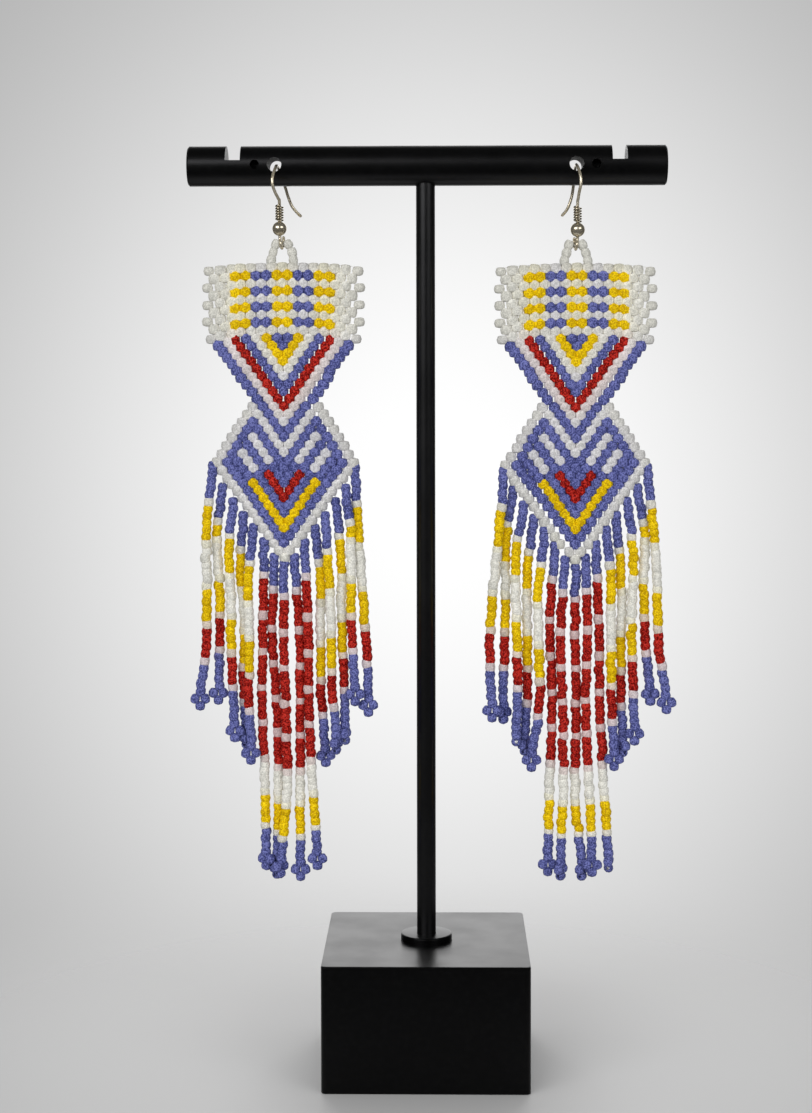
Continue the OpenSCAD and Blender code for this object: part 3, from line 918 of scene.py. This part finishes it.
# How loosely a string's beads lie on its line, in mm, and how far they tilt
STRING_LOOSE, STRING_TILT = 0.1, 0.06
# Step along a string, for its direction, as a share of its length
STEP = 0.01
# Direction that no string's thread runs in, from which its rings are turned
ACROSS_THREADS = (0.1, 1, 0.2)
# How far above its foot a string's thread goes into the picot and leaves it
THREAD_IN, THREAD_OUT = 0.6, 0.5
THREAD_POINTS, SWAY_STEPS = 24, 40
# Length of a blue bead of the last band, which the string's length cuts to fit
BLUE_BEAD = 1.5
# Radius, length against its share of the string, and squareness of a string's
# beads: frosted, coloured, and the three of a picot, whose length is in mm
FROSTED_BEAD = (1.08, 1.45, 0.65)
COLOURED_BEAD = (1.1, 1.3, 0.85)
PICOT_BEAD = (1.06, 2.0, 1.0)
# Bands of a string from the top: colour, number of beads, length in mm
OUTER_BANDS = ((BLUE, 5, 7.5), (FROSTED, 1, 1.4), (YELLOW, 5, 7.3), (FROSTED, 7, 10.2),
               (YELLOW, 4, 6.6), (FROSTED, 1, 1.4), (RED, 4, 6.2), (FROSTED, 1, 1.4),
               (BLUE, 4, 6.2))
INNER_BANDS = ((BLUE, 5, 7.0), (FROSTED, 1, 1.4), (RED, 5, 6.9), (FROSTED, 1, 1.5),
               (RED, 4, 6.1), (FROSTED, 1, 1.4), (RED, 4, 6.1), (FROSTED, 1, 1.4),
               (RED, 4, 5.8), (FROSTED, 1, 1.5), (RED, 4, 6.1), (FROSTED, 6, 8.3),
               (YELLOW, 4, 5.9), (FROSTED, 1, 1.1), (BLUE, 3, 4.6))
# How far below its route's top each string's first bead starts, in mm
FIRST_BEAD = (
    (-0.5, 0.9, 0.7, 0.45, -0.25, -0.4, -0.35, -0.6, -0.25, -0.15, 0, 0.45, 0.7, 1.1, 0),
    (0.35, 1.1, 1.15, 0.8, 0.15, 0.15, 0, 0, -0.4, -0.2, 0, 0.2, 0.4, 0.75, -0.35),
)
# How much further each string's last blue band runs than its chart, in mm
LAST_RUN = (
    (0.3, 1.8, 1.7, 0, 1.4, 1.2, 1.6, 0.1, 1.1, 0.7, 1.1, 0, 1.6, 1.8, 1),
    (1.4, 1.9, 2.5, 1.3, 1.9, 1.2, 1.3, 1.7, 0.9, 0, 0.3, 0.7, 0.7, 1.2, -0.1),
)
# Each string: length, sway sideways at each quarter of it, depth to which it
# swings out of the panel's plane, and turn of its picot in degrees
FRINGE = (
    ((48.9, -1.2, -1.3, -1.4, -2.8, -0.9, 0), (44.8, -1.5, -1.0, -0.9, -1.3, 1.0, 0),
     (49.3, -0.9, -0.5, -0.4, 0.2, -0.5, 0), (47.8, -0.8, 0.0, -0.3, 0.3, 1.2, 70),
     (47.6, -1.1, -0.8, -1.1, -0.7, -1.1, 0), (67.0, -0.3, -0.6, 0.0, 0.2, 0.5, -35),
     (65.8, -0.5, 0.4, 0.6, 0.3, 1.2, 60), (63.5, -0.1, 0.3, 0.4, -1.0, -1.0, 50),
     (66.1, 1.0, 1.1, 1.0, 1.0, 0.6, 0), (66.7, 0.7, 0.8, 1.5, 2.5, -0.6, 0),
     (48.5, 1.1, 1.1, 1.2, 2.1, 1.1, 20), (48.6, 0.8, 1.3, 1.4, 2.3, -1.0, 70),
     (50.0, 1.1, 1.3, 1.7, 2.0, 0.7, 80), (44.8, 1.1, 1.2, 1.4, 2.0, -0.6, 0),
     (50.4, 0.5, 1.3, 2.2, 2.6, 0.5, 0)),
    ((51.0, -0.9, -2.2, -3.0, -2.5, -0.9, 0), (48.5, -1.6, -1.8, -2.0, -2.2, 1.1, 40),
     (49.7, -1.7, -1.7, -1.4, -1.7, -0.8, 90), (48.9, -1.5, -1.5, -1.4, -2.0, 1.2, 60),
     (48.7, -1.3, -1.3, -1.1, -2.8, -1.0, 0), (67.8, -1.0, -0.5, -1.0, -1.4, 0.5, 0),
     (65.3, -1.0, -0.5, -0.4, -0.9, -0.6, 60), (64.1, 0.1, 0.3, 0.0, 1.5, 1.0, 60),
     (64.5, 0.4, 0.0, 0.8, 1.4, -0.5, 0), (67.0, 0.7, 0.9, 1.7, 2.8, 0.5, 80),
     (48.5, 1.1, 1.0, 1.2, 1.7, -0.9, 0), (49.1, 1.1, 1.1, 1.1, 1.5, 0.9, -60),
     (49.5, 1.4, 1.0, 1.3, 1.7, -0.8, 0), (44.6, 1.8, 1.5, 1.9, 3.0, 0.8, 20),
     (49.3, 1.3, 2.1, 2.4, 4.1, -0.7, 0)),
)


def string_bands(s, i):
    """Bands of string i: the long white run, or the upper yellow one, is cut to its length."""
    bands = list(INNER_BANDS if abs(i - 8) <= 2 else OUTER_BANDS)
    if (s, i) == (1, 2):
        bands[3] = (FROSTED, 5, 7.6)
    elif i in (2, 14):
        bands[2:4] = (YELLOW, 2, 2.6), (FROSTED, 7, 9.8)
    elif (s, i) == (0, 5):
        bands[3] = (FROSTED, 6, 8.6)
    elif i == 8:
        bands[2] = (RED, 4, 6.2)
    return bands


def string_line(s, i, t):
    """Places on string i at shares t of its length: sway, swing out and plain drop."""
    length, *sway, depth, _ = FRINGE[s][i - 1]
    h = i - 8
    row = 30 if h == 0 else 31 - 2 * abs(h)
    x0 = AXIS_X[s] + h * STRAND_PITCH
    z0 = ROW0_Z[s] - row * LOWER_ROW + LOWER_ROW / 3
    curve = smooth_curve([[0], *([v] for v in sway)], SWAY_STEPS)[:, 0]
    drift = np.interp(t, np.linspace(0, 1, len(curve)), curve)
    out = np.clip(t / SWING_OUT, 0, 1)
    return np.stack([x0 + drift, HANG_Y + depth * out * out * (3 - 2 * out), z0 - t * length], -1)


for s, side in enumerate(SIDES):
    for i in range(1, 16):
        length, turned_by = FRINGE[s][i - 1][0], math.radians(FRINGE[s][i - 1][-1])
        first, extra = FIRST_BEAD[s][i - 1], LAST_RUN[s][i - 1]
        bands = string_bands(s, i)
        scale = (length - extra - PICOT_RISE - first) / sum(w for _, _, w in bands)
        bands = [(c, n, w * scale) for c, n, w in bands]
        last = bands[-1][2] + extra
        bands[-1] = (BLUE, round(last / BLUE_BEAD), last)
        colour = np.concatenate([[c] * n for c, n, _ in bands])
        size = np.concatenate([[w / n] * n for _, n, w in bands])
        t = (first + np.cumsum(size) - size / 2) / length
        draw = np.random.default_rng(100 * s + i)
        centres = string_line(s, i, t)
        axes = string_line(s, i, t - STEP) - string_line(s, i, t + STEP)
        centres[1:, :2] += draw.normal(0, STRING_LOOSE, (len(t) - 1, 2))
        axes = unit(axes) + draw.normal(0, STRING_TILT, (len(t), 3))
        foot = string_line(s, i, np.array([1.0]))[0]
        wide = np.array([math.cos(turned_by), math.sin(turned_by), 0])
        down = np.array([0, 0, -1.0])
        picot = foot + np.stack([-PICOT_WIDE * wide, PICOT_DEEP * down, PICOT_WIDE * wide])
        picot_axes = np.stack([down - PICOT_LEAN * wide, wide, down + PICOT_LEAN * wide])
        line = np.vstack([string_line(s, i, np.linspace(0, t[-1], THREAD_POINTS)),
                          foot - THREAD_IN * down, picot, foot - THREAD_OUT * down])
        colour = np.append(colour, [BLUE] * 3)
        shape = np.where(colour[:, None] == FROSTED, FROSTED_BEAD, COLOURED_BEAD)
        shape[-3:] = PICOT_BEAD
        long = np.append(size, [1.0] * 3) * shape[:, 1]
        string = beadwork(f"{side}_string_{i:02d}", np.vstack([centres, picot]),
                          np.vstack([axes, picot_axes]), shape[:, 0], long, colour,
                          [(line, ACROSS_THREADS)], seed=200 + 20 * s + i, form=shape[:, 2])
        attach(string, "root")
        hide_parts(f"{side}_strand_{i:02d}")


# Floor. A plain pale sheet, lit from below as a backlit table is, that fades
# out into the pale background before its edge would show.
FLOOR_RINGS = (900, 500, 250, 100, 20)
FLOOR_SIDES = 64
# Where the floor starts to fade and is gone, in metres from its middle
FADE_FROM, FADE_TO = 0.03, 0.17


def pale_floor():
    """Faintly glowing pale grey, its glow dimmed close to the block as painted shade, fading
    outwards.
    """
    material, tree, shader = new_material("pale_floor", Emission_Color=(1, 1, 1, 1), Roughness=0.85,
                                          Base_Color=(0.45, 0.45, 0.45, 1), Specular_IOR_Level=0.2)
    place = tree.nodes.new("ShaderNodeTexCoord").outputs["Object"]
    reach = tree.nodes.new("ShaderNodeVectorMath")
    reach.operation = "LENGTH"
    tree.links.new(place, reach.inputs[0])
    cover = add_node(tree, "ShaderNodeMapRange", Value=reach.outputs["Value"], From_Min=FADE_FROM,
                     From_Max=FADE_TO, To_Min=1.0, To_Max=0.0)
    cover.interpolation_type = "SMOOTHSTEP"
    tree.links.new(cover.outputs["Result"], shader.inputs["Alpha"])
    # The glow is dimmed where the block hems the floor in: painted contact shade
    near = add_node(tree, "ShaderNodeAmbientOcclusion", Distance=0.03)
    glow = add_node(tree, "ShaderNodeMapRange", Value=near.outputs["AO"], To_Max=0.05)
    tree.links.new(glow.outputs["Result"], shader.inputs["Emission Strength"])
    return material


rings = turned([(r, 0) for r in FLOOR_RINGS], FLOOR_SIDES)
faces = capped(rings)
floor = make_piece("floor", rings, faces[:-2] + faces[-1:], [pale_floor()])


# Studio light. A wide softbox stands in front, above the lens and to the left,
# and a weaker one on the right. Two more show in no gloss: one behind for the
# floor, one low in front that fills the beadwork. A pale ground glows behind.
def softbox(name, place, aim, wide, high, watts, mirrored=True):
    """Rectangular area light at a place in mm, facing the aim; not mirrored, no gloss shows it."""
    data = bpy.data.lights.new(name, "AREA")
    data.shape = "RECTANGLE"
    data.size, data.size_y = wide * MM, high * MM
    data.energy = watts
    light = bpy.data.objects.new(name, data)
    scene.collection.objects.link(light)
    start, end = (Vector([c * MM for c in point]) for point in (place, aim))
    light.matrix_world = (Matrix.Translation(start)
                          @ (end - start).to_track_quat("-Z", "Y").to_matrix().to_4x4())
    light.visible_camera = False
    light.visible_glossy = mirrored


softbox("left_softbox", (-600, -930, 608), (0, 0, 130), 900, 470, 6.5)
softbox("right_softbox", (707, -843, 608), (0, 0, 130), 710, 470, 3.0)
softbox("back_softbox", (0, 700, 450), (0, 0, 0), 700, 400, 5.0, mirrored=False)
softbox("front_softbox", (0, -1100, 90), (0, 0, 110), 700, 500, 4.0, mirrored=False)


# Level of the light that comes evenly from all round, as in a white tent, how
# much of it polish mirrors, and how much more comes from behind
SOFT_LIGHT = 0.45
MIRRORED_LIGHT = 0.05
LIGHT_BEHIND = 2.2
# The ground's own level, and how much its glow adds
GROUND_LEVEL = 0.336
GROUND_GLOW = 0.684
# Middle and spread of the glow and of the light behind, in radians: round, up
GLOW_SPREAD = ((0.0, 0.17), (-0.056, 0.192))
BEHIND_SPREAD = ((0.0, 0.32), (0.16, 0.3))


def surroundings():
    """Pale ground, brightest straight behind the stand, and dim where polish mirrors the front."""
    world = bpy.data.worlds.new("studio")
    scene.world = world
    world.use_nodes = True
    tree = world.node_tree
    way = add_node(tree, "ShaderNodeSeparateXYZ",
                   Vector=tree.nodes.new("ShaderNodeTexCoord").outputs["Generated"]).outputs

    def sum_of(kind, first, second):
        """Output of a maths node that works on two values or links."""
        node = add_node(tree, "ShaderNodeMath", n0=first, n1=second)
        node.operation = kind
        return node.outputs[0]

    def bell(value, middle, width):
        """Exponential of minus half the square of (value - middle) / width."""
        offset = sum_of("DIVIDE", sum_of("SUBTRACT", value, middle), width)
        return sum_of("EXPONENT", sum_of("MULTIPLY", sum_of("MULTIPLY", offset, offset), -0.5), 0)

    azimuth = sum_of("ARCTAN2", way["X"], way["Y"])
    rise = sum_of("ARCSINE", way["Z"], 0)
    glow, behind = (sum_of("MULTIPLY", bell(azimuth, *around), bell(rise, *up))
                    for around, up in (GLOW_SPREAD, BEHIND_SPREAD))
    seen = sum_of("ADD", GROUND_LEVEL, sum_of("MULTIPLY", glow, GROUND_GLOW))
    ray = tree.nodes.new("ShaderNodeLightPath").outputs
    dimmed = sum_of("MULTIPLY", ray["Is Glossy Ray"], SOFT_LIGHT - MIRRORED_LIGHT)
    tent = sum_of("SUBTRACT", SOFT_LIGHT, dimmed)
    lit = sum_of("ADD", tent, sum_of("MULTIPLY", behind, LIGHT_BEHIND))
    level = sum_of("ADD", sum_of("MULTIPLY", seen, ray["Is Camera Ray"]),
                   sum_of("MULTIPLY", lit, sum_of("SUBTRACT", 1.0, ray["Is Camera Ray"])))
    ground = tree.nodes["Background"]
    ground.inputs["Color"].default_value = (1, 1, 1, 1)
    tree.links.new(level, ground.inputs["Strength"])


surroundings()
